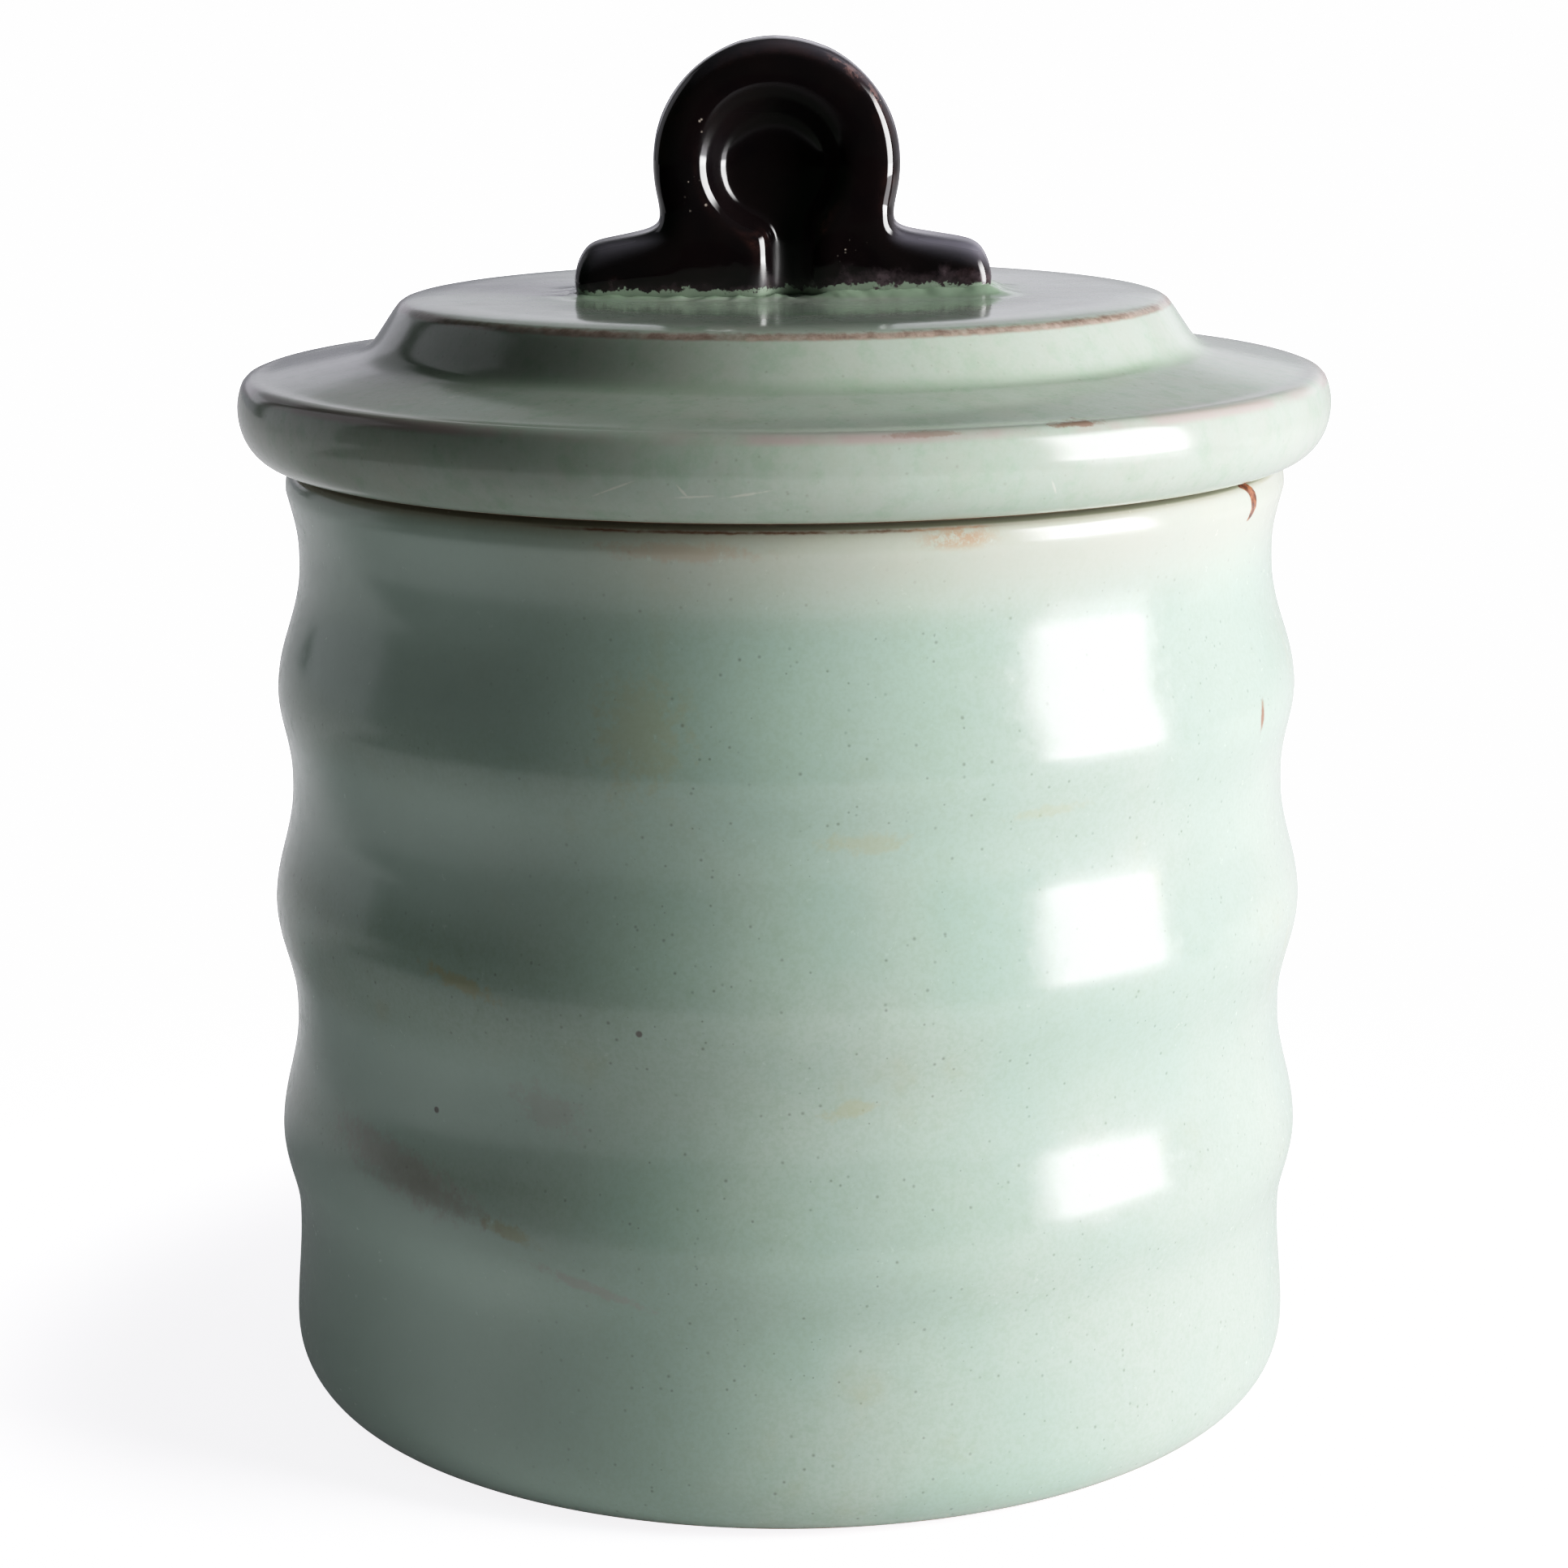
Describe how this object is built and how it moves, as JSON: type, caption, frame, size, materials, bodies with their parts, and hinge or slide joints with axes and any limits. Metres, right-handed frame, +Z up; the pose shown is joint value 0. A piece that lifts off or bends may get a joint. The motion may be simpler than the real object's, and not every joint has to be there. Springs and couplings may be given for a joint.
{
  "type": "lidded jar",
  "caption": "Ribbed cylindrical stoneware jar with a lift-off stepped lid and a dark ring handle on the lid.",
  "frame": {"origin": "centre of the foot ring's resting plane, on the jar's axis", "axes": "+Z up along the jar's axis, +X along the handle's foot bar to the right, -Y towards the front face of the handle"},
  "size_m": [0.125, 0.125, 0.1568],
  "materials": {
    "celadon_glaze": "satin to glossy grey-green celadon glaze with iron specks and brown breaks at the edges",
    "dark_brown_glaze": "glossy brown-black iron glaze"
  },
  "bodies": {
    "jar": {"jar_body": "celadon_glaze"},
    "lid": {"lid": "celadon_glaze", "lid_handle": "dark_brown_glaze"}
  },
  "joints": [
    {"name": "lid_lift", "type": "slide", "parent": "jar", "child": "lid", "axis": [0, 0, 1], "range_m": [0, 0.06]}
  ]
}
